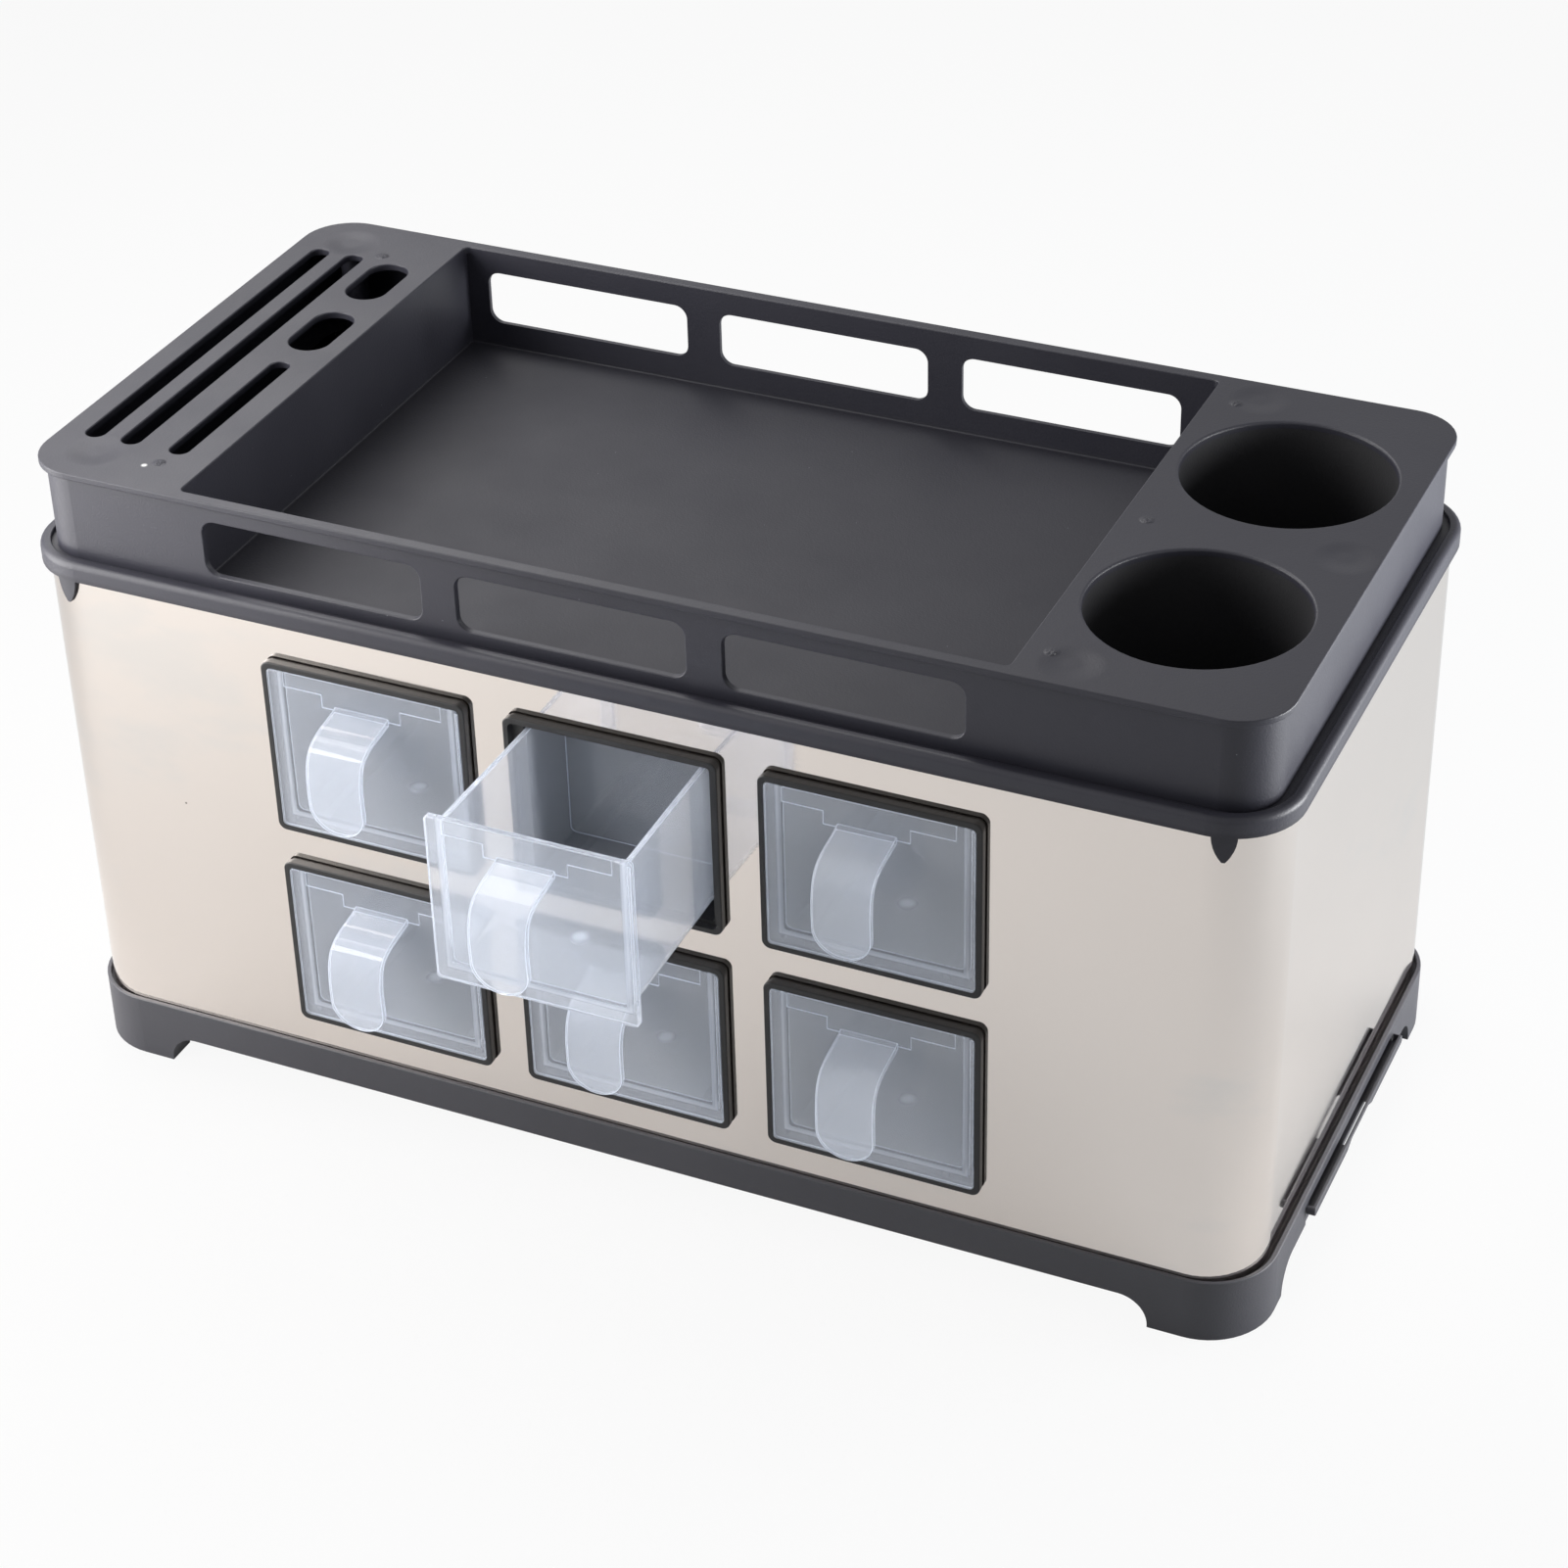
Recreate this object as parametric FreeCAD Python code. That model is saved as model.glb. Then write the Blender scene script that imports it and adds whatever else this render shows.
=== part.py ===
import FreeCAD, Part
import math
import os

# Condiment caddy: a stainless wrap between a black moulded top tray and a
# black moulded base, six pull-out drawers in black sleeves, a drip tray.
# Millimetres.  X to the right, Y to the back, Z up.  The shapes are drawn
# about the middle of the body and moved at the end, so that the origin lies
# on the table under the middle of everything, open drawer included.

# ---- top deck ------------------------------------------------------------
deck_w = 400.0
deck_d = 190.0
deck_r = 16.5
deck_top = 218.4      # height of the deck above the table
deck_t = 2.2
wall_in = 2.2         # tray wall stands this far inside the deck edge
wall_t = 1.9
lip_r = 0.45          # rounding of the moulded edges

# ---- skirt that covers the upper edge of the steel ------------------------
skirt_over = 4.0      # stands out beyond the deck at the ends
skirt_over_d = 3.8    # and at the front and back
skirt_r = 22.0
skirt_t = 2.0
shoulder_t = 3.5      # thicker rim above the steel
shoulder_r = 1.9
skirt_drop = 29.5     # from the deck down to the shoulder
skirt_h = 6.3
gutter_drop = 30.9    # from the deck down to the gutter floor
gutter_t = 2.0
tab_w = 7.5           # pointed tabs that hang over the corners of the steel
tab_drop = 9.2
tab_root = 2.0
tab_tip = 0.5
tab_belly = 3.1
tab_gap = 0.15
tab_t = 0.9
tab_turn = 14.5       # degrees round the corner from the long side

# ---- sunken tray and its windows ------------------------------------------
left_deck = 55.3
right_deck = 78.5
tray_drop = 35.4
floor_t = 2.2
tray_fillet = 0.5
win_left = 7.7        # tray end to the first window
win_right = 12.2
win_gap = 11.8
win_drop = 7.9        # deck to the upper edge of the windows
win_h = 18.6
win_r = 4.5

# ---- cup holes, knife slots, tool holes ------------------------------------
cup_in = 40.7         # from the right edge of the deck to the cup holes
cup_share = 0.22      # of the deck's depth, off the middle line
cup_r = 32.65
cup_lip = 0.9
slot_w = 6.6
slot_in = (11.5, 24.4, 41.7)      # from the left edge of the deck
slot_front = 23.4                 # from the front edge of the deck
slot_len = (143.0, 143.0, 65.6)
oval_w = 14.0
oval_in = (40.5, 41.6)
oval_back = (25.2, 63.3)          # from the rear edge of the deck
oval_len = (27.4, 28.3)

# ---- posts and screws -------------------------------------------------------
post_in = ((-1, 18.0, -1, 15.8), (-1, 18.0, 1, 15.8), (1, 63.0, -1, 11.5),
           (1, 63.0, 1, 11.5), (1, 10.2, 0, 0.0))   # side and inset, twice
post_r = 4.5
screw_r = 1.7
screw_len = 16.0
screw_tip = 1.5
screw_tip_r = 0.4
screw_head_r = 3.4
screw_head_h = 1.9
screw_gap = 0.05
cross_w = 0.9
cross_len = 4.4
cross_deep = 1.0

# ---- steel wrap ---------------------------------------------------------------
steel_out = 1.6       # steel stands outside the deck edge at the ends
steel_out_d = 1.2     # and at the front and back
steel_r = 20.0
steel_t = 0.6
steel_low = 19.4
lap_w = 16.0          # lap of the wrap at the middle of the back
lap_end = 5.0

# ---- base ---------------------------------------------------------------------
base_out = 2.6        # base stands outside the steel at the ends
base_out_d = 1.6      # and at the front and back
base_r = 22.0
base_wall = 2.2
rim_z = 22.2
plate_z = 16.8        # underside of the base floor
plate_t = 2.2
beam_w = 10.2         # width of the hollow beam round the foot of the base
beam_wall = 2.0
beam_cap = 2.0
arch_z = 10.3
foot_w = 33.0         # feet reach this far in from the ends
foot_d = 29.0         # and from the front and back
arch_r = 9.5
arch_skin = 2.4
groove_end = 1.2      # slack of the steel in its groove at the ends
groove_side = 0.25
groove_r = 20.0
lug_gap = 0.2
lug_t = 2.0           # inner rib that keys the wrap
lug_h = 7.0

# ---- drip tray -------------------------------------------------------------------
drip_hw = 45.3        # half width
drip_z0 = 8.4
drip_z1 = 15.6
drip_t = 1.5
drip_clear = 16.2     # from the left end of the base
drip_inset = 23.8     # from the right end of the base to the well
recess_z = 11.0
face_gap = 0.3        # the pull laps over the end of the base
face_over = 2.2
face_z0 = 15.2
face_z1 = 18.4
face_t = 2.8        # the pull is a shallow trough this deep
face_r = 1.2
face_edge = 0.3
face_lip = 0.9
face_end = 1.2
face_floor = 1.0
face_in = 2.2        # inner wall of the pull, inside the end of the base
face_wall = 1.2
notch_w = 16.0
notch_top = 9.0
notch_z = 17.4
run_gap = 0.3
rail_t = 2.0
rail_foot = 3.0
rail_end = 0.8        # rails stop this far inside the beam
mouth_gap = 0.9
mouth_top = 18.2
mouth_r = 3.0

# ---- drawer grid -----------------------------------------------------------------
col_pitch = 82.6
rows = (110.4, 36.6)  # bottom edge of the drawer fronts
row_names = ("upper", "lower")
col_names = ("left", "middle", "right")
front_w = 65.7
front_h = 57.0
front_r = 1.4
front_t = 2.2
front_edge = 0.45
proud = 3.5           # front of a closed drawer before the steel
bin_mid = 1.2         # the bin sits off the middle of the front
bin_hw = 30.0
bin_taper = 1.2       # each side of the bin narrows this much to the back
bin_low = 5.0
bin_top = 55.6
bin_r = 3.6
bin_t = 1.6
bin_deep = 76.0
pulled = 52.0         # the upper middle drawer stands open by this much

# ---- drawer handle -------------------------------------------------------------------
grip_w = 18.4
grip_x = -0.5
grip_t = 2.0
grip_root = 48.5      # height of the root above the lower edge of the front
grip_curve = ((0.6, 0.1), (-6.6, -1.5), (-13.0, -3.0), (-16.9, -5.7),
              (-18.9, -10.4), (-19.5, -17.0), (-19.2, -25.0), (-18.4, -33.0))
grip_tip_r = 9.15
band_low = 5.0        # shallow band along the head of the drawer front
band_half = 27.0
band_dip = 13.5
band_deep = 0.3

# ---- sleeves -----------------------------------------------------------------------------
collar_w = 69.8
collar_h = 61.3
collar_r = 2.8
collar_out = 3.2      # collar stands before the steel
collar_edge = 0.5
collar_gap = 0.25
shadow_gap = 0.9      # reveal between collar and steel
shadow_in = 0.5
recess_deep = 2.4
sleeve_wall = 1.7
sleeve_over = 5.3     # sleeve reaches this far behind the bin
floor_drop = 3.8      # sleeve floor below the bin, bridged by two ribs
cut_gap = 0.2
cut_r = 3.0
rib_x = 22.0
rib_w = 2.0
snap_t = 0.7
snap_h = 12.0
snap_len = 7.0

# ---- cup liners and knife well -------------------------------------------------------------
liner_over = 1.75     # liner radius beyond the cup hole
liner_t = 1.5
liner_floor = 2.0
liner_gap = 0.2
liner_collar = 1.8
liner_collar_h = 12.0
liner_ring_h = 6.0
drain_w = 3.0
drain_pitch = 9.0
drain_half = 36.0
cup_drain_w = 4.0
cup_drain_pitch = 12.0
cup_drain_half = 18.0
well_in = 3.0         # from the left edge of the deck
well_w = 75.0
well_inset = 23.0     # from the front and rear edges of the deck
well_below = 5.0      # below the tray floor
well_t = 1.8
well_r = 3.0
well_comb = 30.0      # depth of the ribs between the blades
well_rib = 1.6
key_w = 40.0
key_h = 8.0
key_t = 2.4
through = 300.0       # cutters reach this far

# ---- derived ------------------------------------------------------------
floor_top = plate_z + plate_t
wall_w = deck_w - 2 * wall_in
wall_d = deck_d - 2 * wall_in
wall_r = deck_r - wall_in
inner_hd = wall_d / 2 - wall_t
skirt_w = deck_w + 2 * skirt_over
skirt_d = deck_d + 2 * skirt_over_d
skirt_top = deck_top - skirt_drop
skirt_low = skirt_top - skirt_h
gutter_z = deck_top - gutter_drop
floor_z = deck_top - tray_drop
rec_x0 = -deck_w / 2 + left_deck
rec_x1 = deck_w / 2 - right_deck
win_w = (rec_x1 - rec_x0 - win_left - win_right - 2 * win_gap) / 3
win_pitch = win_w + win_gap
win_z1 = deck_top - win_drop
win_z0 = win_z1 - win_h
cup_x = deck_w / 2 - cup_in
cup_y = deck_d * cup_share
steel_w = deck_w + 2 * steel_out
steel_d = deck_d + 2 * steel_out_d
steel_top = gutter_z - gutter_t
steel_y = -steel_d / 2
base_w = steel_w + 2 * base_out
base_d = steel_d + 2 * base_out_d
foot_x = base_w / 2 - foot_w
foot_y = base_d / 2 - foot_d
lug_top = floor_top + lug_h
drip_x0 = -base_w / 2 + drip_clear
drip_face = base_w / 2 + face_gap + face_t
drip_well = base_w / 2 - drip_inset
front_y = steel_y - proud
bin_back = front_y + bin_deep
collar_y = steel_y - collar_out
recess_y = collar_y + recess_deep
sleeve_hw = bin_hw + run_gap + sleeve_wall
sleeve_back = bin_back + sleeve_over
liner_r = cup_r + liner_over
well_x0 = -deck_w / 2 + well_in
well_x1 = well_x0 + well_w
well_hd = deck_d / 2 - well_inset
well_top = floor_z - well_below
posts = [(sx * (deck_w / 2 - ix), sy * (deck_d / 2 - iy)) for sx, ix, sy, iy in post_in]
slots = []
for inset, length in zip(slot_in, slot_len):
    slots.append((inset - deck_w / 2, slot_front - deck_d / 2, slot_front - deck_d / 2 + length))
ovals = []
for inset, back, length in zip(oval_in, oval_back, oval_len):
    ovals.append((inset - deck_w / 2, deck_d / 2 - back - length, deck_d / 2 - back))
grip_reach = max(-y for y, z in grip_curve)
reach_front = -front_y + pulled + grip_reach
reach_back = max(skirt_d, base_d) / 2
to_middle_x = (base_w / 2 - drip_face) / 2
to_middle_y = (reach_front - reach_back) / 2


def vec(x, y, z):
    return FreeCAD.Vector(x, y, z)


def box(x0, x1, y0, y1, z0, z1):
    return Part.makeBox(x1 - x0, y1 - y0, z1 - z0, vec(x0, y0, z0))


def round_wire(w, d, r, z, cx=0.0, cy=0.0):
    """Rounded rectangle in a level plane."""
    hx = w / 2
    hy = d / 2
    turn = vec(0, 0, 1)
    arcs = []
    for sx, sy, a in ((1, 1, 0), (-1, 1, 90), (-1, -1, 180), (1, -1, 270)):
        mid = vec(cx + sx * (hx - r), cy + sy * (hy - r), z)
        arcs.append(Part.makeCircle(r, mid, turn, a, a + 90))
    edges = []
    for i in range(4):
        edges.append(arcs[i])
        tail = arcs[i].Vertexes[-1].Point
        head = arcs[(i + 1) % 4].Vertexes[0].Point
        edges.append(Part.makeLine(tail, head))
    return Part.Wire(edges)


def slab(w, d, r, z0, z1, cx=0.0, cy=0.0):
    face = Part.Face(round_wire(w, d, r, z0, cx, cy))
    return face.extrude(vec(0, 0, z1 - z0))


def front_wire(x0, x1, z0, z1, r, y):
    """Rounded rectangle in an upright plane that faces the front."""
    flat = round_wire(x1 - x0, z1 - z0, r, 0.0)
    flat.rotate(vec(0, 0, 0), vec(1, 0, 0), 90)
    flat.translate(vec((x0 + x1) / 2, y, (z0 + z1) / 2))
    return flat


def upright(x0, x1, z0, z1, r, y0, y1):
    face = Part.Face(front_wire(x0, x1, z0, z1, r, y0))
    return face.extrude(vec(0, y1 - y0, 0))


def level_edges(shape, z, inside=None):
    """Edges that lie wholly in the plane at height z."""
    found = []
    for e in shape.Edges:
        b = e.BoundBox
        if abs(b.ZMin - z) < 1e-4 and abs(b.ZMax - z) < 1e-4:
            if inside is None or inside(b):
                found.append(e)
    return found


def front_edges(shape, y):
    found = []
    for e in shape.Edges:
        b = e.BoundBox
        if abs(b.YMin - y) < 1e-4 and abs(b.YMax - y) < 1e-4:
            found.append(e)
    return found


def stadium(x, y0, y1, w, z0, z1):
    """Slot with round ends, long in Y."""
    r = w / 2
    a = y0 + r
    b = y1 - r
    turn = vec(0, 0, 1)
    edges = [Part.makeCircle(r, vec(x, b, z0), turn, 0, 180)]
    edges.append(Part.makeLine(vec(x - r, b, z0), vec(x - r, a, z0)))
    edges.append(Part.makeCircle(r, vec(x, a, z0), turn, 180, 360))
    edges.append(Part.makeLine(vec(x + r, a, z0), vec(x + r, b, z0)))
    return Part.Face(Part.Wire(edges)).extrude(vec(0, 0, z1 - z0))


def cup_spots():
    return ((cup_x, -cup_y), (cup_x, cup_y))


# ---- top tray -----------------------------------------------------------
def deck_plate():
    z0 = deck_top - deck_t
    plate = slab(deck_w, deck_d, deck_r, z0, deck_top)
    plate = plate.makeFillet(lip_r, level_edges(plate, z0))
    mid = (rec_x0 + rec_x1) / 2
    cut = slab(rec_x1 - rec_x0, 2 * inner_hd, 2.0, z0 - 1, deck_top + 1, mid)
    plate = plate.cut(cut)
    for x, y0, y1 in slots:
        plate = plate.cut(stadium(x, y0, y1, slot_w, z0 - 1, deck_top + 1))
    for x, y0, y1 in ovals:
        plate = plate.cut(stadium(x, y0, y1, oval_w, z0 - 1, deck_top + 1))
    plate = plate.makeFillet(lip_r, level_edges(plate, deck_top))
    for x, y in cup_spots():
        plate = plate.cut(Part.makeCylinder(cup_r, 10, vec(x, y, z0 - 5)))
    rims = level_edges(plate, deck_top, lambda b: abs(b.XLength - 2 * cup_r) < 0.5)
    return plate.makeFillet(cup_lip, rims)


def window_boxes(y0, y1):
    found = []
    for i in range(3):
        x = rec_x0 + win_left + i * win_pitch
        found.append(upright(x, x + win_w, win_z0, win_z1, win_r, y0, y1))
    return found


def tray_wall():
    low = floor_z - floor_t
    ring = slab(wall_w, wall_d, wall_r, low, deck_top - deck_t + 0.3)
    hole = slab(wall_w - 2 * wall_t, wall_d - 2 * wall_t, wall_r - wall_t, low - 1, deck_top)
    ring = ring.cut(hole)
    for side in (-1, 1):
        y = side * wall_d / 2
        for cutter in window_boxes(y - 6, y + 6):
            ring = ring.cut(cutter)
    for side in (-1, 1):
        rims = [e for e in front_edges(ring, side * wall_d / 2) if e.BoundBox.ZMin > win_z0 - 0.1
                and e.BoundBox.ZMax < win_z1 + 0.1]
        ring = ring.makeFillet(lip_r, rims)
    return ring


def skirt():
    lip = slab(skirt_w, skirt_d, skirt_r, skirt_low, skirt_top)
    lip = lip.makeFillet(shoulder_r, level_edges(lip, skirt_top))
    a = 2 * skirt_t
    lip = lip.cut(slab(skirt_w - a, skirt_d - a, skirt_r - skirt_t, 0, steel_top))
    b = 2 * shoulder_t
    lip = lip.cut(slab(skirt_w - b, skirt_d - b, skirt_r - shoulder_t, 0, through))
    lip = lip.makeFillet(lip_r, level_edges(lip, skirt_top, lambda e: e.XMax < skirt_w / 2 - 3.4))
    a = wall_t
    floor = slab(skirt_w - b + a, skirt_d - b + a, skirt_r - shoulder_t, steel_top, gutter_z)
    floor = floor.cut(slab(wall_w - a, wall_d - a, wall_r - a / 2, 0, through))
    return lip.fuse(floor)


def corner_tabs():
    """Pointed tabs under the skirt, one on each corner of the steel."""
    a = 2 * tab_gap
    b = 2 * (tab_gap + tab_t)
    top = skirt_low + tab_root
    low = skirt_low - tab_drop
    band = slab(steel_w + b, steel_d + b, steel_r + b / 2, low, top)
    band = band.cut(slab(steel_w + a, steel_d + a, steel_r + a / 2, 0, through))
    w = tab_w / 2
    right = [vec(w, 0, top), vec(w, 0, skirt_low), vec(tab_belly, 0, skirt_low - tab_drop / 2), vec(tab_tip, 0, low)]
    left = [vec(-p.x, 0, p.z) for p in right]
    edges = [Part.makeLine(left[0], right[0]), Part.makeLine(right[0], right[1])]
    edges.append(Part.Arc(right[1], right[2], right[3]).toShape())
    edges.append(Part.makeLine(right[3], left[3]))
    edges.append(Part.Arc(left[3], left[2], left[1]).toShape())
    edges.append(Part.makeLine(left[1], left[0]))
    prism = Part.Face(Part.Wire(edges)).extrude(vec(0, -2 * steel_r, 0))
    found = []
    for sx in (-1, 1):
        for sy in (-1, 1):
            cutter = prism.copy()
            turn = sx * tab_turn if sy < 0 else 180 - sx * tab_turn
            cutter.rotate(vec(0, 0, 0), vec(0, 0, 1), turn)
            cutter.translate(vec(sx * (steel_w / 2 - steel_r), sy * (steel_d / 2 - steel_r), 0))
            found.append(band.common(cutter))
    return found


def top_tray():
    low = floor_z - floor_t
    body = deck_plate().fuse(tray_wall())
    body = body.fuse(skirt())
    for tab in corner_tabs():
        body = body.fuse(tab)
    hy = wall_d / 2 - 0.5
    body = body.fuse(box(rec_x0 - wall_t, rec_x0, -hy, hy, low, deck_top - deck_t + 0.3))
    body = body.fuse(box(rec_x1, rec_x1 + wall_t, -hy, hy, low, deck_top - deck_t + 0.3))
    body = body.fuse(box(rec_x0 - wall_t, rec_x1 + wall_t, -hy, hy, low, floor_z))
    body = body.removeSplitter()
    seams = level_edges(body, floor_z, lambda e: e.XMax < rec_x1 + 0.1 and e.XMin > rec_x0 - 0.1)
    body = body.makeFillet(tray_fillet, seams)
    for x, y in cup_spots():
        z = deck_top - deck_t
        r = liner_r + liner_gap
        tube = Part.makeCylinder(r + liner_collar, liner_collar_h + 0.3, vec(x, y, z - liner_collar_h))
        body = body.fuse(tube)
        body = body.cut(Part.makeCylinder(r, liner_collar_h, vec(x, y, z - liner_collar_h)))
        body = body.cut(Part.makeCylinder(cup_r, 4, vec(x, y, z - 2)))
    for x, y in posts:
        tall = deck_top - deck_t + 0.3 - floor_top
        body = body.fuse(Part.makeCylinder(post_r, tall, vec(x, y, floor_top)))
    for x, y in posts:
        bore = Part.makeCylinder(screw_r + screw_gap, screw_len + 4, vec(x, y, floor_top - 1))
        body = body.cut(bore)
    return body.removeSplitter()


# ---- steel wrap ---------------------------------------------------------
def steel_body():
    wrap = slab(steel_w, steel_d, steel_r, steel_low, steel_top)
    inner = slab(steel_w - 2 * steel_t, steel_d - 2 * steel_t, steel_r - steel_t, 0, through)
    wrap = wrap.cut(inner)
    y = steel_d / 2 - steel_t
    lap = box(-lap_w / 2, lap_w / 2, y - steel_t, y + 0.1, lug_top + lap_end, steel_top - lap_end)
    wrap = wrap.fuse(lap)
    g = cut_gap
    for z in rows:
        for i in (-1, 0, 1):
            x = i * col_pitch
            z0 = z + sleeve_low() - g
            z1 = z + sleeve_high() + g
            hw = sleeve_hw + g
            mid = x + bin_mid
            wrap = wrap.cut(upright(mid - hw, mid + hw, z0, z1, cut_r, steel_y - 5, steel_y + 5))
    return wrap.removeSplitter()


# ---- base ---------------------------------------------------------------
def arch_cutter(half, reach0, reach1, along_x):
    """Solid that clears the arch between two feet."""
    r = arch_r
    s = arch_z - arch_r
    pts = [vec(-half, 0, -1), vec(half, 0, -1), vec(half, 0, s)]
    wire = [Part.makeLine(pts[0], pts[1]), Part.makeLine(pts[1], pts[2])]
    k = r * (1 - math.sqrt(0.5))
    bend = Part.Arc(vec(half, 0, s), vec(half - k, 0, arch_z - k), vec(half - r, 0, arch_z))
    wire.append(bend.toShape())
    wire.append(Part.makeLine(vec(half - r, 0, arch_z), vec(r - half, 0, arch_z)))
    bend = Part.Arc(vec(r - half, 0, arch_z), vec(k - half, 0, arch_z - k), vec(-half, 0, s))
    wire.append(bend.toShape())
    wire.append(Part.makeLine(vec(-half, 0, s), pts[0]))
    face = Part.Face(Part.Wire(wire))
    solid = face.extrude(vec(0, reach1 - reach0, 0))
    solid.translate(vec(0, reach0, 0))
    if not along_x:
        solid.rotate(vec(0, 0, 0), vec(0, 0, 1), -90)
    return solid


def beam_ring():
    """Hollow beam and corner feet under the base floor."""
    beam = slab(base_w, base_d, base_r, 0, plate_z)
    grow = 2 * beam_w
    beam = beam.cut(slab(base_w - grow, base_d - grow, base_r - beam_w, -1, through))
    a = 2 * base_wall
    b = 2 * (beam_w - beam_wall)
    hollow = slab(base_w - a, base_d - a, base_r - base_wall, -1, plate_z - beam_cap)
    hollow = hollow.cut(slab(base_w - b, base_d - b, base_r - beam_w + beam_wall, -2, through))
    far = base_w
    long = arch_r + 2 * arch_skin
    for s in (-1, 1):
        x0 = min(s * (foot_x - arch_r - arch_skin), s * (foot_x + arch_skin))
        hollow = hollow.cut(box(x0, x0 + long, -far, far, -5, plate_z))
        y0 = min(s * (foot_y - arch_r - arch_skin), s * (foot_y + arch_skin))
        hollow = hollow.cut(box(-far, far, y0, y0 + long, -5, plate_z))
    beam = beam.cut(hollow)
    beam = beam.cut(arch_cutter(foot_x, -far, far, True))
    return beam.cut(arch_cutter(foot_y, -far, far, False))


def rim_ring():
    rim = slab(base_w, base_d, base_r, plate_z - beam_cap, rim_z)
    rim = rim.makeFillet(lip_r, level_edges(rim, rim_z))
    gx = 2 * groove_end
    gy = 2 * groove_side
    rim = rim.cut(slab(steel_w + gx, steel_d + gy, groove_r, steel_low, through))
    k = 2 * (steel_t + lug_gap)
    inner_w = steel_w - k
    inner_d = steel_d - k
    inner_r = steel_r - steel_t - lug_gap
    rib = slab(inner_w, inner_d, inner_r, plate_z, lug_top)
    k = 2 * lug_t
    rim = rim.fuse(rib)
    rim = rim.cut(slab(inner_w - k, inner_d - k, inner_r - lug_t, floor_top, through))
    k = 2 * beam_w
    return rim.cut(slab(base_w - k, base_d - k, base_r - beam_w, -1, plate_z))


def well_drains(z0, z1):
    found = []
    n = int((well_w - 4 * well_t) / drain_pitch)
    mid = (well_x0 + well_x1) / 2
    for i in range(n):
        x = mid + (i - (n - 1) / 2) * drain_pitch
        found.append(stadium(x, -drain_half, drain_half, drain_w, z0, z1))
    return found


def cup_drains(cx, cy, z0, z1):
    found = []
    for i in (-1, 0, 1):
        x = cx + i * cup_drain_pitch
        found.append(stadium(x, cy - cup_drain_half, cy + cup_drain_half, cup_drain_w, z0, z1))
    return found


def drip_rails():
    found = []
    x0 = drip_x0 - drip_t
    x1 = base_w / 2 - beam_w - rail_end
    for s in (-1, 1):
        a = s * (drip_hw + run_gap)
        b = a + s * rail_t
        low = drip_z0 - run_gap - rail_t
        found.append(box(x0, x1, min(a, b), max(a, b), low, plate_z + 0.2))
        c = a - s * rail_foot
        found.append(box(x0, x1, min(c, b), max(c, b), low, low + rail_t))
    return found


def base_frame():
    body = beam_ring().fuse(rim_ring())
    z0 = plate_z - 1
    z1 = floor_top + 1
    for s in well_drains(z0, z1):
        body = body.cut(s)
    for x, y in cup_spots():
        for s in cup_drains(x, y, z0, z1):
            body = body.cut(s)
    for rail in drip_rails():
        body = body.fuse(rail)
    reach = drip_hw + mouth_gap
    mouth = upright(-reach, reach, -mouth_top, mouth_top, mouth_r, 0, beam_w + 1 + rail_end / 2)
    mouth.rotate(vec(0, 0, 0), vec(0, 0, 1), 90)
    mouth.translate(vec(base_w / 2 + 1, 0, 0))
    body = body.cut(mouth)
    for x, y in posts:
        g = screw_gap
        body = body.cut(Part.makeCylinder(screw_r + g, plate_t + 2, vec(x, y, plate_z - 1)))
        top = plate_z + screw_head_h + g
        cone = Part.makeCone(screw_head_r + g, screw_r + g, top - plate_z, vec(x, y, plate_z))
        body = body.cut(cone)
    mid = (well_x0 + well_x1) / 2
    for s in (-1, 1):
        y = s * (well_hd + liner_gap + key_t / 2)
        k = key_w / 2
        t = key_t / 2
        body = body.fuse(box(mid - k, mid + k, y - t, y + t, floor_top - 0.2, floor_top + key_h))
    for x, y in cup_spots():
        r = liner_r + liner_gap
        low = floor_top - 0.2
        ring = Part.makeCylinder(r + liner_collar, liner_ring_h + 0.2, vec(x, y, low))
        ring = ring.cut(Part.makeCylinder(r, liner_ring_h + 2, vec(x, y, low - 1)))
        body = body.fuse(ring)
    return body.removeSplitter()


# ---- drip tray ----------------------------------------------------------
def drip_tray():
    tub = box(drip_x0, drip_well, -drip_hw, drip_hw, drip_z0, drip_z1)
    t = drip_t
    tub = tub.cut(box(drip_x0 + t, drip_well - t, t - drip_hw, drip_hw - t, drip_z0 + t, through))
    tub = tub.cut(box(drip_well - 2 * t, drip_well + 1, -through, through, recess_z, through))
    x0 = drip_face - face_t
    x1 = base_w / 2 - face_in
    low = face_z0 + face_floor
    shelf = box(drip_well - 1, x1 + face_wall, -drip_hw, drip_hw, drip_z0, drip_z0 + t)
    wall = box(x1, x1 + face_wall, -drip_hw, drip_hw, drip_z0, low)
    bridge = box(x1, x0 + 0.5, -drip_hw, drip_hw, face_z0, low)
    hy = drip_hw + face_over
    face = box(x0, drip_face, -hy, hy, face_z0, face_z1)
    corners = [e for e in face.Edges if e.BoundBox.YLength < 1e-4 and e.BoundBox.ZLength < 1e-4]
    face = face.makeFillet(face_r, corners)
    rim = [e for e in face.Edges if e.BoundBox.XMin > drip_face - 1e-3]
    face = face.makeFillet(face_edge, rim)
    a = notch_w
    b = notch_top
    notch = [vec(x0 - 1, -a, face_z0 - 1), vec(x0 - 1, -b, notch_z), vec(x0 - 1, b, notch_z)]
    notch += [vec(x0 - 1, a, face_z0 - 1), vec(x0 - 1, -a, face_z0 - 1)]
    cutter = Part.Face(Part.makePolygon(notch)).extrude(vec(face_t + 2, 0, 0))
    hy = hy - face_end
    face = face.cut(box(x0 - 1, drip_face - face_lip, -hy, hy, low, through))
    body = tub.fuse(shelf)
    body = body.fuse(wall)
    body = body.fuse(bridge)
    body = body.fuse(face.cut(cutter))
    return body.removeSplitter()


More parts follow.
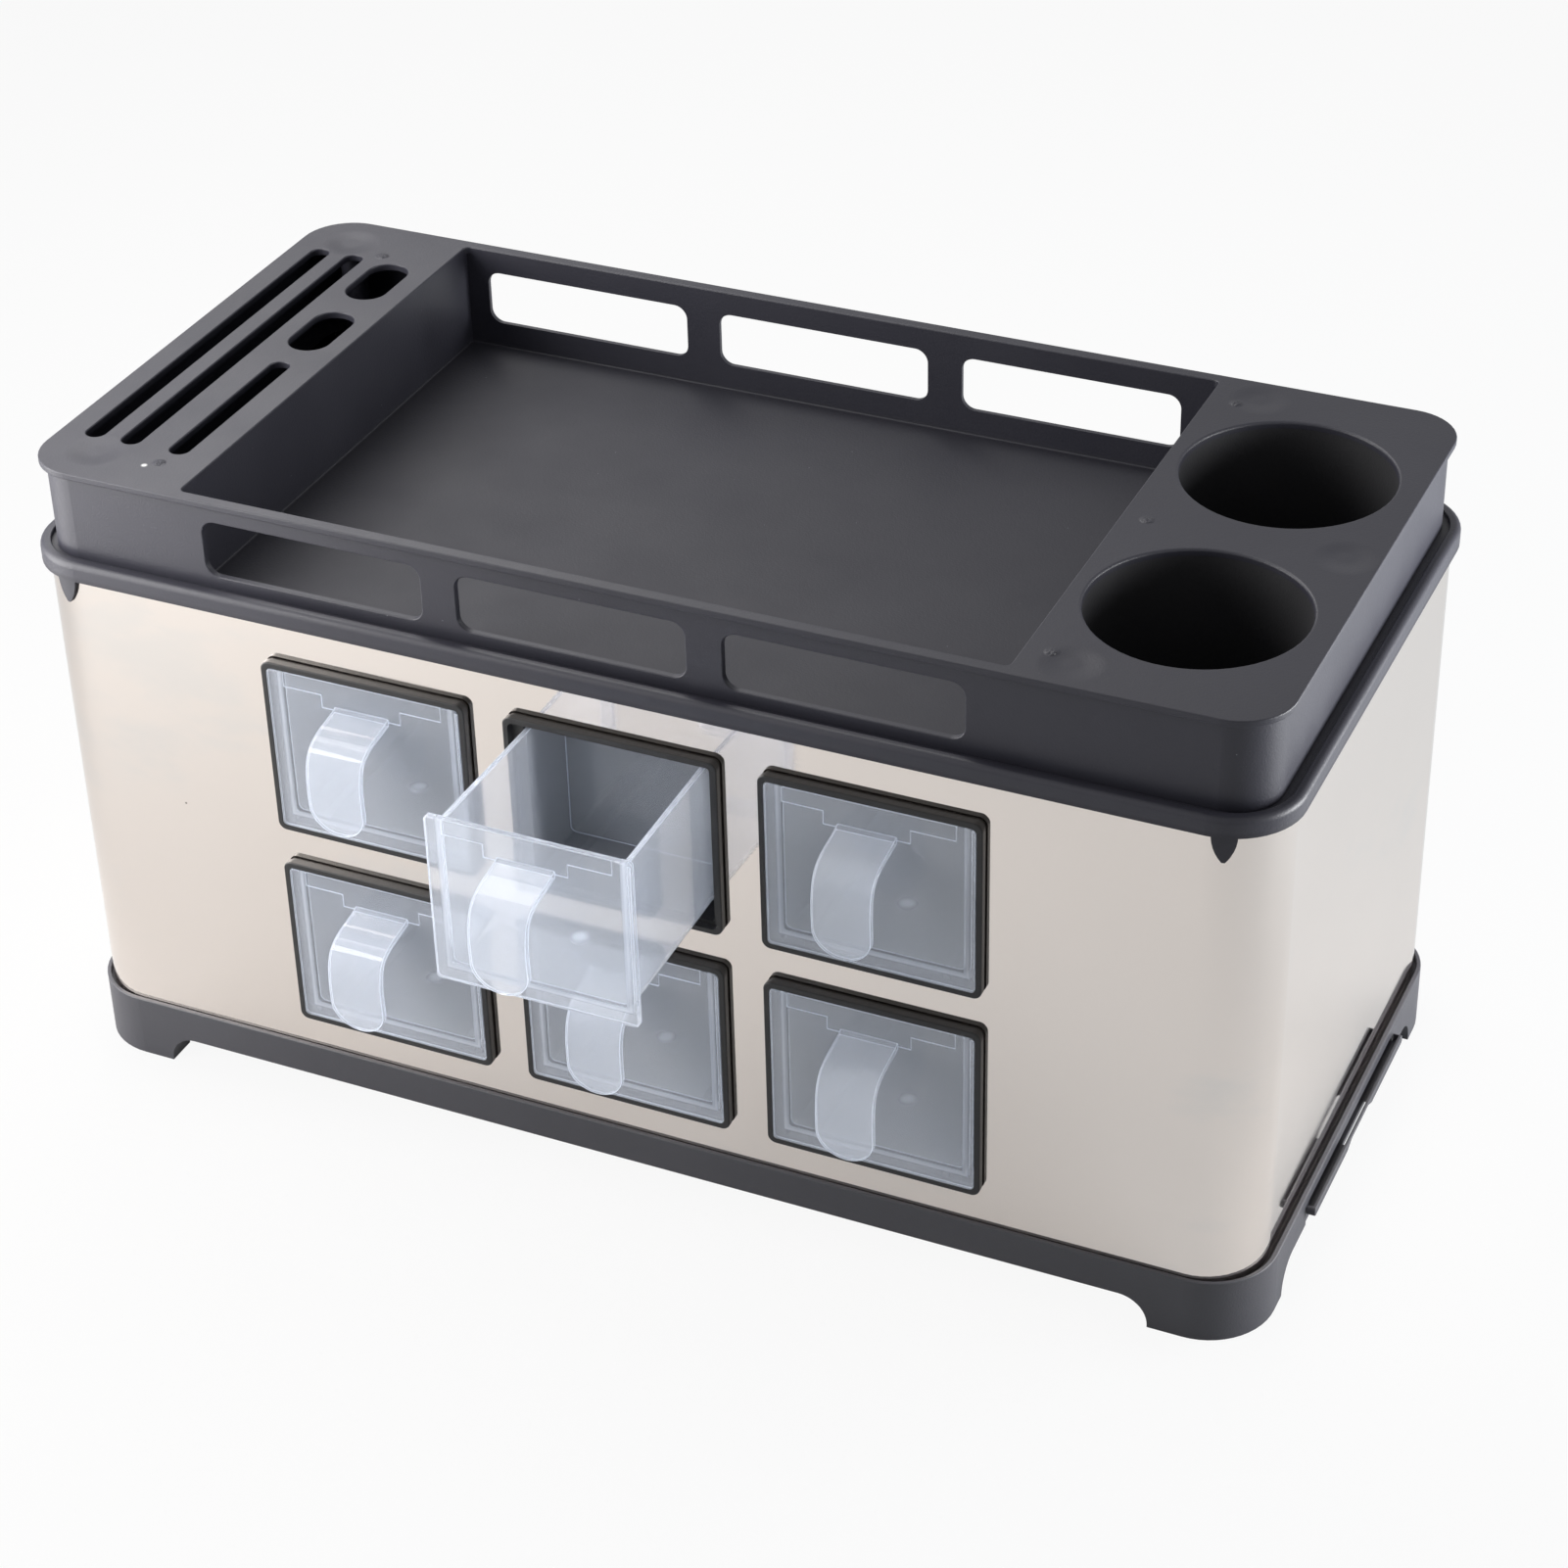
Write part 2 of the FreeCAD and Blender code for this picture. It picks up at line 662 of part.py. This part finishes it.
# ---- drawers ------------------------------------------------------------
def grip_section():
    """Closed outline of the handle strip, seen from the side."""
    outer = [vec(0, y, z) for y, z in grip_curve]
    inner = []
    last = len(outer) - 1
    for i, p in enumerate(outer):
        a = outer[max(i - 1, 0)]
        b = outer[min(i + 1, last)]
        d = b.sub(a)
        n = vec(0, -d.z, d.y)
        n.normalize()
        inner.append(p.add(n.multiply(grip_t)))
    one = Part.BSplineCurve()
    one.interpolate(outer)
    two = Part.BSplineCurve()
    two.interpolate(list(reversed(inner)))
    edges = [one.toShape(), Part.makeLine(outer[-1], inner[-1])]
    edges += [two.toShape(), Part.makeLine(inner[0], outer[0])]
    return Part.Face(Part.Wire(edges))


def handle():
    strip = grip_section().extrude(vec(grip_w, 0, 0))
    strip.translate(vec(grip_x - grip_w / 2, 0, 0))
    low = min(z for y, z in grip_curve)
    top = -low
    a = grip_x - grip_w / 2
    mask = upright(a, a + grip_w, low, top, grip_tip_r, -through, through)
    return strip.common(mask)


def drawer_front():
    hw = front_w / 2
    panel = upright(-hw, hw, 0, front_h, front_r, 0, front_t)
    panel = panel.makeFillet(front_edge, front_edges(panel, 0))
    top = front_h + 1
    band = box(-band_half, band_half, -1, band_deep, front_h - band_low, top)
    dip = box(grip_x - band_dip, grip_x + band_dip, -1, band_deep, grip_root - grip_t / 2, top)
    return panel.cut(band.fuse(dip))


def bin_shell():
    y0 = front_t - 0.6
    y1 = bin_deep
    m = bin_mid
    a = bin_hw
    b = bin_hw - bin_taper
    head = bin_top + 2 * bin_r
    outer = Part.makeLoft([front_wire(m - a, m + a, bin_low, head, bin_r, y0),
                           front_wire(m - b, m + b, bin_low, head, bin_r, y1)], True, True)
    t = bin_t
    low = bin_low + t
    c = b + (a - b) * t / (y1 - y0) - t
    a = a - t
    inner = Part.makeLoft([front_wire(m - a, m + a, low, head, bin_r - t, front_t),
                           front_wire(m - c, m + c, low, head, bin_r - t, y1 - t)], True, True)
    shell = outer.cut(inner)
    return shell.cut(box(-through, through, -1, through, bin_top, through))


def drawer(x, z, out):
    grip = handle()
    grip.translate(vec(0, 0, grip_root))
    body = drawer_front().fuse(bin_shell())
    body = body.fuse(grip)
    body = body.removeSplitter()
    body.translate(vec(x, front_y - out, z))
    return body


# ---- sleeves ------------------------------------------------------------
def sleeve_low():
    return bin_low - run_gap - floor_drop - sleeve_wall


def sleeve_high():
    return bin_top + run_gap + sleeve_wall


def sleeve(x, z):
    hw = collar_w / 2
    z0 = front_h / 2 - collar_h / 2
    z1 = z0 + collar_h
    back = steel_y - shadow_gap
    collar = upright(-hw, hw, z0, z1, collar_r, collar_y, back)
    collar = collar.makeFillet(collar_edge, front_edges(collar, collar_y))
    i = shadow_in
    collar = collar.fuse(upright(i - hw, hw - i, z0 + i, z1 - i, collar_r - i, back, steel_y))
    m = bin_mid
    a = sleeve_hw
    tube = upright(m - a, m + a, sleeve_low(), sleeve_high(), cut_r - cut_gap, steel_y - 1, sleeve_back)
    body = collar.fuse(tube)
    g = collar_gap
    fw = front_w / 2 + g
    body = body.cut(upright(-fw, fw, -g, front_h + g, front_r + g, collar_y - 2, recess_y))
    iw = bin_hw + run_gap
    low = sleeve_low() + sleeve_wall
    high = sleeve_high() - sleeve_wall
    body = body.cut(upright(m - iw, m + iw, low, high, 1.1, recess_y - 1, sleeve_back - sleeve_wall))
    for s in (-1, 1):
        c = m + s * rib_x - rib_w / 2
        rib = box(c, c + rib_w, recess_y + 0.5, sleeve_back - 0.5, low - 0.2, bin_low - run_gap)
        body = body.fuse(rib)
        p = m + s * (sleeve_hw - 0.1)
        q = m + s * (sleeve_hw + snap_t)
        y0 = steel_y + steel_t + 0.05
        zs = (front_h - snap_h) / 2
        pts = [vec(p, y0, zs), vec(q, y0, zs), vec(p, y0 + snap_len, zs), vec(p, y0, zs)]
        body = body.fuse(Part.Face(Part.makePolygon(pts)).extrude(vec(0, 0, snap_h)))
    body = body.removeSplitter()
    body.translate(vec(x, 0, z))
    return body


# ---- cup liners, knife well, screws --------------------------------------
def cup_liner(x, y):
    z1 = deck_top - deck_t
    tube = Part.makeCylinder(liner_r, z1 - floor_top, vec(x, y, floor_top))
    low = floor_top + liner_floor
    tube = tube.cut(Part.makeCylinder(liner_r - liner_t, through, vec(x, y, low)))
    for s in cup_drains(x, y, floor_top - 1, low + 1):
        tube = tube.cut(s)
    return tube


def knife_well():
    mid = (well_x0 + well_x1) / 2
    body = slab(well_w, 2 * well_hd, well_r, floor_top, well_top, mid)
    t = 2 * well_t
    low = floor_top + liner_floor
    body = body.cut(slab(well_w - t, 2 * well_hd - t, well_r - well_t, low, through, mid))
    for s in well_drains(floor_top - 1, low + 1):
        body = body.cut(s)
    hy = well_hd - well_t / 2
    k = well_rib / 2
    for i in (0, 1):
        x = (slots[i][0] + slots[i + 1][0]) / 2
        body = body.fuse(box(x - k, x + k, -hy, hy, well_top - well_comb, well_top))
    return body.removeSplitter()


def screw(x, y):
    z = plate_z
    head = Part.makeCone(screw_head_r, screw_r, screw_head_h, vec(x, y, z))
    top = screw_len - screw_tip
    shank = Part.makeCylinder(screw_r, top, vec(x, y, z))
    tip = Part.makeCone(screw_r, screw_tip_r, screw_tip, vec(x, y, z + top))
    body = head.fuse(shank)
    body = body.fuse(tip)
    body = body.removeSplitter()
    a = cross_len / 2
    b = cross_w / 2
    cross = box(x - a, x + a, y - b, y + b, z - 0.1, z + cross_deep)
    return body.cut(cross.fuse(box(x - b, x + b, y - a, y + a, z - 0.1, z + cross_deep)))


def save(shape, name):
    if shape.ShapeType == "Compound" and len(shape.Solids) == 1:
        shape = shape.Solids[0]
    shape.translate(vec(to_middle_x, to_middle_y, 0))
    shape.exportStep(os.path.join("parts", name + ".step"))
    b = shape.BoundBox
    print(name, len(shape.Solids), shape.isValid(), round(shape.Volume, 1),
          [round(v, 2) for v in (b.XMin, b.XMax, b.YMin, b.YMax, b.ZMin, b.ZMax)])


os.makedirs("parts", exist_ok=True)
save(top_tray(), "top_tray")
save(steel_body(), "steel_body")
save(base_frame(), "base_frame")
save(drip_tray(), "drip_tray")
save(cup_liner(cup_x, -cup_y), "utensil_cup_front")
save(cup_liner(cup_x, cup_y), "utensil_cup_rear")
save(knife_well(), "knife_well")
for r in range(2):
    for c in range(3):
        spot = row_names[r] + "_" + col_names[c]
        cx = (c - 1) * col_pitch
        out = pulled if spot == "upper_middle" else 0.0
        save(sleeve(cx, rows[r]), "sleeve_" + spot)
        save(drawer(cx, rows[r], out), "drawer_" + spot)
save(Part.makeCompound([screw(x, y) for x, y in posts]), "assembly_screws")
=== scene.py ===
import bpy
from mathutils import Matrix, Vector

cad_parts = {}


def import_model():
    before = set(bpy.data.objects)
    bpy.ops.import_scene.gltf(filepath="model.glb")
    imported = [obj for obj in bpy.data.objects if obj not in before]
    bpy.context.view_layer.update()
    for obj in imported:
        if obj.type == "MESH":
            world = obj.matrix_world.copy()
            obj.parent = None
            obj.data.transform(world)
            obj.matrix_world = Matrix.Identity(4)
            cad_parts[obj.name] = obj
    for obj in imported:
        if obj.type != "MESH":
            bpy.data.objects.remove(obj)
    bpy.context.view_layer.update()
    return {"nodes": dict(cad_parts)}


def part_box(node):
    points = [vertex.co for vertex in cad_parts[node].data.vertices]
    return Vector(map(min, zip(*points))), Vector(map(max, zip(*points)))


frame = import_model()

nodes = frame["nodes"]
scene = bpy.context.scene
MM = 0.001
tray_low, tray_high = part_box("top_tray")
MID_X = (tray_low.x + tray_high.x) / 2
MID_Y = (tray_low.y + tray_high.y) / 2


def at(x, y, z):
    """a place in metres, from mm off the middle of the top tray and the table"""
    return Vector((x * MM + MID_X, y * MM + MID_Y, z * MM))


# ---- node helpers ----------------------------------------------------------
def new_material(name):
    m = bpy.data.materials.new(name)
    m.use_nodes = True
    t = m.node_tree
    t.nodes.clear()
    return m, t, t.nodes.new("ShaderNodeOutputMaterial")


def put(t, kind, inputs=(), **settings):
    """a new node; each input is linked to a socket or set to a value"""
    n = t.nodes.new(kind)
    for k, v in settings.items():
        setattr(n, k, v)
    for k, v in inputs:
        if isinstance(v, bpy.types.NodeSocket):
            t.links.new(v, n.inputs[k])
        else:
            n.inputs[k].default_value = v
    return n


def principled(t, **sockets):
    inputs = [(k.replace("_", " "), v) for k, v in sockets.items()]
    return put(t, "ShaderNodeBsdfPrincipled", inputs).outputs[0]


def mix_shaders(t, fac, a, b):
    return put(t, "ShaderNodeMixShader", ((0, fac), (1, a), (2, b))).outputs[0]


def coords(t):
    return put(t, "ShaderNodeTexCoord").outputs["Object"]


def noise(t, scale, detail=3.0, rough=0.5, stretch=(1, 1, 1)):
    m = put(t, "ShaderNodeMapping", (("Vector", coords(t)), ("Scale", stretch)))
    inputs = (("Vector", m.outputs["Vector"]), ("Scale", scale), ("Detail", detail), ("Roughness", rough))
    return put(t, "ShaderNodeTexNoise", inputs).outputs["Fac"]


def ramp(t, fac, low, high):
    """the first colour up to 0.3, the second from 0.7"""
    r = put(t, "ShaderNodeValToRGB", (("Fac", fac),))
    els = r.color_ramp.elements
    els[0].position, els[0].color = 0.3, low + (1,)
    els[1].position, els[1].color = 0.7, high + (1,)
    return r.outputs["Color"]


def blend(t, fac, a, b):
    return put(t, "ShaderNodeMix", ((0, fac), (6, a), (7, b)), data_type="RGBA").outputs[2]


def remap(t, fac, a, b, c, d, smooth=False):
    """a..b becomes c..d and is held at both ends"""
    inputs = (("Value", fac), ("From Min", a), ("From Max", b), ("To Min", c), ("To Max", d))
    kind = "SMOOTHSTEP" if smooth else "LINEAR"
    return put(t, "ShaderNodeMapRange", inputs, interpolation_type=kind).outputs["Result"]


def calc(t, op, a, b):
    return put(t, "ShaderNodeMath", ((0, a), (1, b)), operation=op).outputs[0]


def vector_calc(t, op, a, b=(0, 0, 0), result="Vector"):
    return put(t, "ShaderNodeVectorMath", ((0, a), (1, b)), operation=op).outputs[result]


def bump(t, height, distance, strength=1.0, normal=None):
    b = put(t, "ShaderNodeBump", (("Height", height), ("Strength", strength), ("Distance", distance)))
    if normal is not None:
        t.links.new(normal, b.inputs["Normal"])
    return b.outputs["Normal"]


def spots(t, places, radius):
    """1 in the middle of each spot, 0 outside; places in metres, radius in mm"""
    coord = coords(t)
    total = None
    for p in places:
        away = vector_calc(t, "DISTANCE", coord, p, "Value")
        s = remap(t, away, 0.25 * radius * MM, radius * MM, 1.0, 0.0, smooth=True)
        total = s if total is None else calc(t, "MAXIMUM", total, s)
    return total


def specks(t, pitch, size, share):
    """1 on small scattered dots: pitch and size in mm, share of the cells that have one"""
    inputs = (("Vector", coords(t)), ("Scale", 1 / (pitch * MM)), ("Randomness", 1.0))
    v = put(t, "ShaderNodeTexVoronoi", inputs)
    dot = remap(t, v.outputs["Distance"], 0.6 * size / pitch, size / pitch, 1.0, 0.0, smooth=True)
    split = put(t, "ShaderNodeSeparateColor", (("Color", v.outputs["Color"]),))
    return calc(t, "MULTIPLY", dot, calc(t, "GREATER_THAN", split.outputs[0], 1.0 - share))


def outline(t, mid, half, width):
    """an upright rectangle on a drawer's front, in metres: 1 along its outline, and 1 beyond it"""
    off = vector_calc(t, "ABSOLUTE", vector_calc(t, "SUBTRACT", coords(t), mid))
    xyz = put(t, "ShaderNodeSeparateXYZ", ((0, vector_calc(t, "SUBTRACT", off, half)),))
    d = calc(t, "MAXIMUM", xyz.outputs["X"], xyz.outputs["Z"])
    front = calc(t, "LESS_THAN", xyz.outputs["Y"], 0.0)
    line = remap(t, calc(t, "ABSOLUTE", d, 0.0), 0.4 * width, width, 1.0, 0.0, smooth=True)
    beyond = calc(t, "GREATER_THAN", d, 0.0)
    return calc(t, "MULTIPLY", line, front), calc(t, "MULTIPLY", beyond, front)


# ---- materials -------------------------------------------------------------
# moulding marks and a fleck on the top tray: places as at() takes them, radii in mm
SINKS = ((-182, 79, 218), (-182, -79, 218), (137, 83.5, 218), (137, -83.5, 218), (189.8, 0, 218))
SINK_R = 10.0
GATES = (
    (-167.3, 73.7, 218),
    (-159.5, -78.5, 218),
    (130.9, 78.6, 218),
    (129.6, -0.3, 218),
    (129.8, -79.7, 218),
    (-20.2, 3.1, 180),
)
GATE_R = 2.6
MARK_DEEP = 0.7
FLECK = (-163.0, -81.4, 218.4)
FLECK_R = 1.3

# the sunken tray's floor and the hem of the skirt lie below these heights, in metres; below them the tray
# gets painted shade
TRAY_FLOOR = (0.1835, 0.1845)

# drawers, in mm from the middle, the outer face and the lower edge of the front
BIN_DEEP = 76.0
BIN_GATE = (1.3, 27.0, 6.2)
BIN_GATE_R = 3.7
WALLS_MID = (1.2, 1.2, 45.8)
WALLS_HALF = (29.2, 1.3, 40.0)
WALLS_LINE = 1.3
FACE = (-2.0, -0.5)  # the handle is before the first and the front itself behind the second
EDGE_R = 0.9


def moulded(name, dark, light, rough=(0.42, 0.5), marks=False, level=0.5):
    m, t, out = new_material(name)
    colour = ramp(t, noise(t, 12.0, 4.0), dark, light)
    normal = bump(t, noise(t, 1500.0, 2.0), 0.06 * MM)
    dull = remap(t, noise(t, 40.0, 5.0), 0.3, 0.7, rough[0], rough[1])
    if marks:
        height = put(t, "ShaderNodeSeparateXYZ", ((0, coords(t)),)).outputs["Z"]
        # painted shade: below these heights the colour is darkened 45% towards near black, standing for
        # the shade in the sunken tray; it is also rougher there
        shaded_low = remap(t, height, TRAY_FLOOR[0], TRAY_FLOOR[1], 1.0, 0.0)
        colour = blend(t, calc(t, "MULTIPLY", shaded_low, 0.45), colour, (0.016, 0.016, 0.022, 1))
        dull = calc(t, "ADD", dull, calc(t, "MULTIPLY", shaded_low, 0.14))
        colour = blend(t, specks(t, 9.0, 0.22, 0.5), colour, (0.17, 0.18, 0.20, 1))
        colour = blend(t, spots(t, [at(*FLECK)], FLECK_R), colour, (0.75, 0.75, 0.75, 1))
        dents = spots(t, [at(*p) for p in SINKS], SINK_R)
        nubs = spots(t, [at(*p) for p in GATES], GATE_R)
        lumpy = calc(t, "MULTIPLY", nubs, remap(t, noise(t, 900.0, 2.0), 0.3, 0.7, 0.4, 1.2))
        normal = bump(t, lumpy, MARK_DEEP * MM, 1.0, normal)
        normal = bump(t, remap(t, dents, 0.0, 1.0, 1.0, 0.0), MARK_DEEP * MM, 1.0, normal)
    normal = bump(t, noise(t, 9.0, 1.0), 1.2 * MM, 0.6, normal)
    skin = principled(
        t,
        Base_Color=colour,
        Roughness=dull,
        IOR=1.5,
        Specular_IOR_Level=level,
        Normal=normal,
    )
    t.links.new(skin, out.inputs["Surface"])
    return m


def polished_steel(name):
    """a mirror with specks, smears, a faint haze and a fine grain along the sheet, tinted warm as painted
    reflection
    """
    m, t, out = new_material(name)
    # painted reflection: the warm beige tint stands for the warm surroundings that the front face
    # reflects; it also varies a little at random
    tint = ramp(t, noise(t, 5.0), (0.850, 0.783, 0.732), (0.890, 0.823, 0.772))
    tint = blend(t, specks(t, 17.0, 0.42, 0.22), tint, (0.16, 0.14, 0.12, 1))
    smears = remap(t, noise(t, 9.0, 5.0, 0.6, (1.0, 1.0, 2.2)), 0.56, 0.70, 0.0, 0.55, smooth=True)
    tint = blend(t, smears, tint, (0.79, 0.765, 0.74, 1))
    haze = remap(t, noise(t, 11.0, 6.0, 0.62), 0.46, 0.72, 0.0, 0.10)
    grain = remap(t, noise(t, 60.0, 4.0, 0.6, (0.35, 1.0, 14.0)), 0.35, 0.75, 0.035, 0.075)
    normal = bump(t, noise(t, 55.0, stretch=(0.2, 1.0, 16.0)), 0.02 * MM, 0.5)
    normal = bump(t, noise(t, 7.0, 1.0), 1.0 * MM, 0.5, normal)
    dull = calc(t, "ADD", haze, grain)
    skin = principled(t, Base_Color=tint, Metallic=1.0, Roughness=dull, Normal=normal)
    t.links.new(skin, out.inputs["Surface"])
    return m


def milky(name, low, high):
    """thin frosted polypropylene: clear, with a bluish white veil, denser at the gate, roots and edges,
    and denser on the handle as painted light
    """
    m, t, out = new_material(name)
    zero = Vector(((low.x + high.x) / 2, high.y - BIN_DEEP * MM, low.z))
    veil = ramp(t, noise(t, 30.0), (0.785, 0.840, 0.955), (0.835, 0.880, 0.970))

    # how much of the surface the veil takes
    blob = spots(t, [zero + Vector(BIN_GATE) * MM], BIN_GATE_R)
    walls_mid = zero + Vector(WALLS_MID) * MM
    line, border = outline(t, walls_mid, Vector(WALLS_HALF) * MM, WALLS_LINE * MM)
    soft_edge = put(t, "ShaderNodeBevel", (("Radius", EDGE_R * MM),), samples=6).outputs[0]
    sharp = put(t, "ShaderNodeNewGeometry").outputs["Normal"]
    turn = vector_calc(t, "DOT_PRODUCT", soft_edge, sharp, "Value")
    dense = remap(t, turn, 0.95, 0.78, 0.0, 0.62)
    dense = calc(t, "MAXIMUM", dense, calc(t, "MULTIPLY", line, 0.17))
    dense = calc(t, "ADD", dense, calc(t, "MULTIPLY", blob, 0.75))
    dense = calc(t, "ADD", dense, calc(t, "MULTIPLY", border, 0.05))
    # painted light: in front of the face the veil is denser, 0.26 against 0.20, so that the handle reads
    # brighter, as light passing through it from behind makes it
    depth = put(t, "ShaderNodeSeparateXYZ", ((0, coords(t)),)).outputs["Y"]
    handle_y, front_y = [zero.y + y * MM for y in FACE]
    dense = calc(t, "ADD", dense, remap(t, depth, handle_y, front_y, 0.26, 0.20, smooth=True))

    normal = bump(t, noise(t, 20.0, 1.0), 0.3 * MM, 0.4)
    body = put(t, "ShaderNodeBsdfDiffuse", (("Color", veil), ("Normal", normal))).outputs[0]
    through = put(t, "ShaderNodeBsdfTranslucent", (("Color", veil),)).outputs[0]
    clear = principled(
        t,
        Base_Color=(0.97, 0.97, 0.96, 1),
        Roughness=remap(t, noise(t, 60.0), 0.3, 0.7, 0.045, 0.08),
        IOR=1.45,
        Transmission_Weight=1.0,
        Normal=normal,
    )
    skin = mix_shaders(t, dense, clear, mix_shaders(t, 0.25, body, through))

    # a little over half of a lamp's light passes, as it does through thin clear plastic
    shadow = put(t, "ShaderNodeLightPath").outputs["Is Shadow Ray"]
    passed = put(t, "ShaderNodeBsdfTransparent", (("Color", (0.90, 0.93, 0.97, 1)),)).outputs[0]
    skin = mix_shaders(t, calc(t, "MULTIPLY", shadow, 0.55), skin, passed)
    t.links.new(skin, out.inputs["Surface"])
    return m


charcoal = moulded("charcoal_moulding", (0.048, 0.048, 0.057), (0.057, 0.057, 0.067))
# painted light: the knife well is a lighter copy of the charcoal moulding, so that the walls inside the
# slots read lit
well_painted_light = moulded("well_moulding_painted_light", (0.075, 0.075, 0.085), (0.090, 0.090, 0.100), (0.5, 0.6))
tray_mat = moulded("charcoal_tray", (0.027, 0.027, 0.038), (0.033, 0.033, 0.046), marks=True)
sleeve_mat = moulded(
    "sleeve_moulding", (0.024, 0.024, 0.025), (0.030, 0.030, 0.031), (0.30, 0.40), level=0.35
)
cup_mat = moulded("liner_moulding", (0.034, 0.034, 0.037), (0.042, 0.042, 0.045), (0.38, 0.46))
steel = polished_steel("polished_steel")
zinc = polished_steel("zinc_plate")


def paint(name, mat):
    ob = nodes[name]
    ob.data.materials.clear()
    ob.data.materials.append(mat)


paint("top_tray", tray_mat)
paint("base_frame", charcoal)
paint("drip_tray", charcoal)
paint("knife_well", well_painted_light)
paint("utensil_cup_front", cup_mat)
paint("utensil_cup_rear", cup_mat)
paint("steel_body", steel)
paint("assembly_screws", zinc)
for name in nodes:
    if name.startswith("sleeve_"):
        paint(name, sleeve_mat)
    if name.startswith("drawer_"):
        low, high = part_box(name)
        paint(name, milky("milky_" + name, low, high))


# ---- floor, world, lamps ---------------------------------------------------
def white_share(t, camera, glossy, clear):
    """how much of the plain white each kind of ray sees"""
    path = put(t, "ShaderNodeLightPath")
    fac = calc(t, "MULTIPLY", path.outputs["Is Camera Ray"], camera)
    fac = calc(t, "MAXIMUM", fac, calc(t, "MULTIPLY", path.outputs["Is Glossy Ray"], glossy))
    return calc(t, "MAXIMUM", fac, calc(t, "MULTIPLY", path.outputs["Is Transmission Ray"], clear))


def floor():
    """a pale sheet just under the feet, which the camera sees nearly white"""
    bpy.ops.mesh.primitive_plane_add(size=14.0, location=(0, 0, -0.0003))
    ob = bpy.context.object
    ob.name = "floor"
    m, t, out = new_material("floor_white")
    paper = put(t, "ShaderNodeBsdfDiffuse", (("Color", (0.80, 0.80, 0.80, 1)),)).outputs[0]
    white = put(t, "ShaderNodeEmission", (("Color", (1, 1, 1, 1)), ("Strength", 1.0))).outputs[0]
    mixed = mix_shaders(t, white_share(t, 0.92, 0.29, 0.45), paper, white)
    t.links.new(mixed, out.inputs["Surface"])
    ob.data.materials.append(m)
    return ob


def world(strength, colour):
    """a dim room, which the camera sees white"""
    w = bpy.data.worlds.new("studio")
    scene.world = w
    w.use_nodes = True
    t = w.node_tree
    t.nodes.clear()
    out = t.nodes.new("ShaderNodeOutputWorld")
    room = put(t, "ShaderNodeBackground", (("Color", colour + (1,)), ("Strength", strength))).outputs[0]
    white = put(t, "ShaderNodeBackground", (("Color", (1, 1, 1, 1)), ("Strength", 1.0))).outputs[0]
    mixed = mix_shaders(t, white_share(t, 1.0, 0.5, 0.8), room, white)
    t.links.new(mixed, out.inputs["Surface"])


def lamp(name, place, aim, size, power, colour, lit=()):
    """an area lamp: place and aim as at() takes them, size in metres; lit is all that it lights"""
    data = bpy.data.lights.new(name, "AREA")
    data.shape = "RECTANGLE"
    data.size, data.size_y = size
    data.energy = power
    data.color = colour
    ob = bpy.data.objects.new(name, data)
    scene.collection.objects.link(ob)
    ob.location = at(*place)
    ob.rotation_euler = (at(*aim) - at(*place)).to_track_quat("-Z", "Y").to_euler()
    if lit:
        group = bpy.data.collections.new(name + "_lit")
        for o in lit:
            group.objects.link(o)
        ob.light_linking.receiver_collection = group
    return ob


sheet = floor()
world(0.20, (0.97, 0.98, 1.0))
parts = [nodes[n] for n in nodes]
drawers = [nodes[n] for n in nodes if n.startswith("drawer_")]
lamp("key", (-400, -240, 250), (-120, -60, 130), (0.35, 0.48), 3.9, (1.0, 0.985, 0.97), parts)
lamp("side", (650, 150, 190), (150, 20, 140), (0.4, 0.3), 6.4, (0.98, 0.99, 1.0), parts)
lamp("top", (-420, 230, 740), (0, 0, 120), (0.6, 0.6), 3.7, (1.0, 0.985, 0.975))
fill = lamp("fill", (480, -620, 330), (0, -120, 110), (0.5, 0.5), 1.6, (0.97, 0.985, 1.0), drawers)
fill.visible_glossy = False
lamp("sweep_left", (-400, -430, 290), (-200, -290, 0), (0.3, 0.3), 1.22, (1.0, 0.985, 0.96), [sheet])
lamp("sweep_right", (820, 380, 400), (340, 150, 0), (0.5, 0.5), 4.5, (0.84, 0.93, 1.0), [sheet])

# ---- camera ----------------------------------------------------------------
SENSOR = 36.0
IMAGE_PX = 1601
FOCAL_PX = 3746.33
EYE = (424.6, -892.9, 749.3)
RIGHT = (0.9129, 0.4075, -0.0218)
FORWARD = (-0.3506, 0.7557, -0.5532)


def camera():
    data = bpy.data.cameras.new("camera")
    data.sensor_width = SENSOR
    data.lens = SENSOR * FOCAL_PX / IMAGE_PX
    data.clip_start = 0.05
    data.clip_end = 50
    ob = bpy.data.objects.new("camera", data)
    scene.collection.objects.link(ob)
    right = Vector(RIGHT).normalized()
    forward = Vector(FORWARD).normalized()
    right = (right - forward * right.dot(forward)).normalized()
    up = right.cross(forward)
    turned = Matrix((right, up, -forward)).transposed().to_4x4()
    ob.matrix_world = Matrix.Translation(at(*EYE)) @ turned
    scene.camera = ob


camera()
scene.view_settings.view_transform = "Standard"
bpy.context.view_layer.update()
